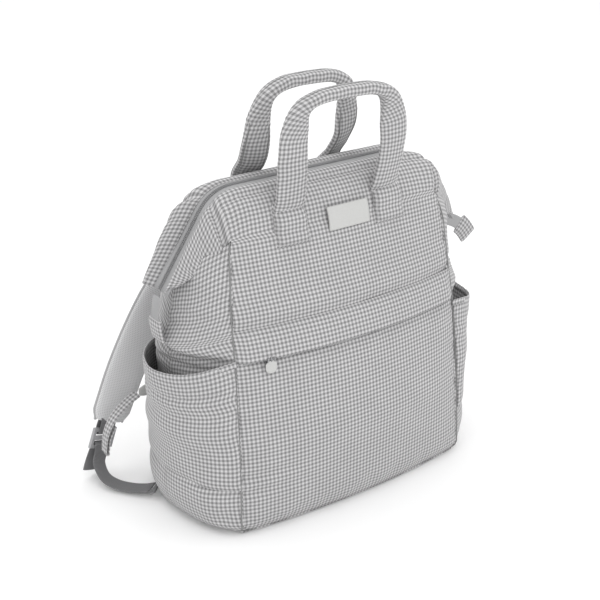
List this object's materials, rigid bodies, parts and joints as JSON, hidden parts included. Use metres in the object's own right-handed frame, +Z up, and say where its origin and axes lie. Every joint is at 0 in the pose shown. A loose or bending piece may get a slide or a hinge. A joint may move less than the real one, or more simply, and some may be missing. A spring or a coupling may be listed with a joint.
{
  "type": "diaper backpack",
  "caption": "Wide-mouth padded diaper backpack with a zipped front pocket, side pockets, two carry handles and adjustable shoulder straps.",
  "frame": {"origin": "middle of the flat base, at floor level", "axes": "+Z up, -Y out of the front pocket, +Y towards the shoulder straps, +X to the right for someone looking at the front pocket"},
  "size_m": [0.4761, 0.2229, 0.4571],
  "materials": {
    "gingham": "matt woven polyester, yarn-dyed grey and white gingham of 4.5 mm pitch",
    "lining": "smooth pale nylon lining",
    "mesh": "air-mesh spacer fabric over foam",
    "tape": "woven zip tape",
    "coil": "nylon zip coil",
    "webbing": "ribbed grey webbing",
    "elastic": "knitted elastic",
    "leather": "pale grey imitation leather, semi-matt",
    "plastic": "grey moulded acetal, satin",
    "zinc": "grey lacquered zinc casting",
    "steel": "drawn spring-steel wire",
    "board": "stiff polyethylene sheet"
  },
  "bodies": {
    "bag": {"base_panel": "gingham", "base_board": "board", "front_pocket_panel": "gingham", "front_pocket_lining": "lining", "front_yoke": "gingham", "front_placket": "gingham", "front_zip_tape": "tape", "front_zip_coil": "coil", "rear_panel": "gingham", "back_pad": "mesh", "gusset_left": "gingham", "gusset_right": "gingham", "lining": "lining", "inner_slip_pocket": "lining", "side_pocket_left": "gingham", "side_pocket_right": "gingham", "side_pocket_elastic_left": "elastic", "side_pocket_elastic_right": "elastic", "strap_anchor_patch": "gingham", "lower_strap_tab_left": "webbing", "lower_strap_tab_right": "webbing", "stroller_tab_left": "leather", "stroller_tab_right": "leather"},
    "front_mouth": {"front_flap": "gingham", "front_frame_wire": "steel", "front_main_tape": "tape", "front_main_coil": "coil", "front_handle_anchor_left": "gingham", "front_handle_anchor_right": "gingham", "label_patch": "leather"},
    "rear_mouth": {"rear_flap": "gingham", "rear_frame_wire": "steel", "rear_main_tape": "tape", "rear_main_coil": "coil", "rear_handle_anchor_left": "gingham", "rear_handle_anchor_right": "gingham"},
    "front_carry_handle": {"front_handle": "gingham"},
    "rear_carry_handle": {"rear_handle": "gingham"},
    "main_slider": {"main_zip_slider": "zinc"},
    "main_pull": {"main_zip_puller": "leather"},
    "front_slider": {"front_zip_slider": "zinc"},
    "front_pull": {"front_zip_puller": "leather"},
    "zip_tab_left": {"zip_end_tab_left": "gingham"},
    "zip_tab_right": {"zip_end_tab_right": "gingham"},
    "strap_left": {"shoulder_strap_left": "mesh", "ladder_lock_left": "plastic", "lock_loop_left": "webbing", "webbing_left": "webbing"},
    "strap_right": {"shoulder_strap_right": "mesh", "ladder_lock_right": "plastic", "lock_loop_right": "webbing", "webbing_right": "webbing"},
    "stroller_left": {"stroller_strap_left": "gingham"},
    "stroller_right": {"stroller_strap_right": "gingham"}
  },
  "joints": [
    {"name": "front_mouth_hinge", "type": "hinge", "parent": "bag", "child": "front_mouth", "pos_m": [0, 0, 0.252], "axis": [1, 0, 0], "range_deg": [0, 38]},
    {"name": "rear_mouth_hinge", "type": "hinge", "parent": "bag", "child": "rear_mouth", "pos_m": [0, 0, 0.252], "axis": [-1, 0, 0], "range_deg": [0, 38]},
    {"name": "front_handle_bend", "type": "hinge", "parent": "front_mouth", "child": "front_carry_handle", "pos_m": [0, -0.054, 0.34], "axis": [1, 0, 0], "range_deg": [-8, 95], "stiffness_Nm_per_rad": 0.15},
    {"name": "rear_handle_bend", "type": "hinge", "parent": "rear_mouth", "child": "rear_carry_handle", "pos_m": [0, 0.047, 0.34], "axis": [-1, 0, 0], "range_deg": [-4, 85], "stiffness_Nm_per_rad": 0.15},
    {"name": "main_slider_travel", "type": "slide", "parent": "front_mouth", "child": "main_slider", "axis": [-0.5547, 0, 0.8321], "range_m": [0, 0.054]},
    {"name": "main_pull_swing", "type": "hinge", "parent": "main_slider", "child": "main_pull", "pos_m": [0.18019, 0, 0.28539], "axis": [0, -1, 0], "range_deg": [0, 150]},
    {"name": "front_slider_travel", "type": "hinge", "parent": "bag", "child": "front_slider", "pos_m": [0, 0.54958, 0.1982], "axis": [0, 0, 1], "range_deg": [-1.2, 20.6]},
    {"name": "front_pull_swing", "type": "hinge", "parent": "front_slider", "child": "front_pull", "pos_m": [-0.11107, -0.08472, 0.1982], "axis": [-0.9851, 0.1722, 0], "range_deg": [0, 150]},
    {"name": "zip_tab_left_swing", "type": "hinge", "parent": "bag", "child": "zip_tab_left", "pos_m": [-0.191, 0, 0.2585], "axis": [0, 1, 0], "range_deg": [0, 110]},
    {"name": "zip_tab_right_swing", "type": "hinge", "parent": "bag", "child": "zip_tab_right", "pos_m": [0.1935, 0, 0.2585], "axis": [0, -1, 0], "range_deg": [-45, 60]},
    {"name": "strap_left_swing", "type": "hinge", "parent": "bag", "child": "strap_left", "pos_m": [-0.181, 0.0395, 0.0105], "axis": [0.4128, 0.1525, 0.898], "range_deg": [-4, 12]},
    {"name": "strap_right_swing", "type": "hinge", "parent": "bag", "child": "strap_right", "pos_m": [0.181, 0.0395, 0.0105], "axis": [0.4128, -0.1525, -0.898], "range_deg": [-4, 12]},
    {"name": "stroller_left_swing", "type": "hinge", "parent": "bag", "child": "stroller_left", "pos_m": [-0.1743, 0.088, 0.1034], "axis": [0, 1, 0], "range_deg": [-10, 40]},
    {"name": "stroller_right_swing", "type": "hinge", "parent": "bag", "child": "stroller_right", "pos_m": [0.1743, 0.088, 0.1034], "axis": [0, -1, 0], "range_deg": [-10, 40]}
  ]
}
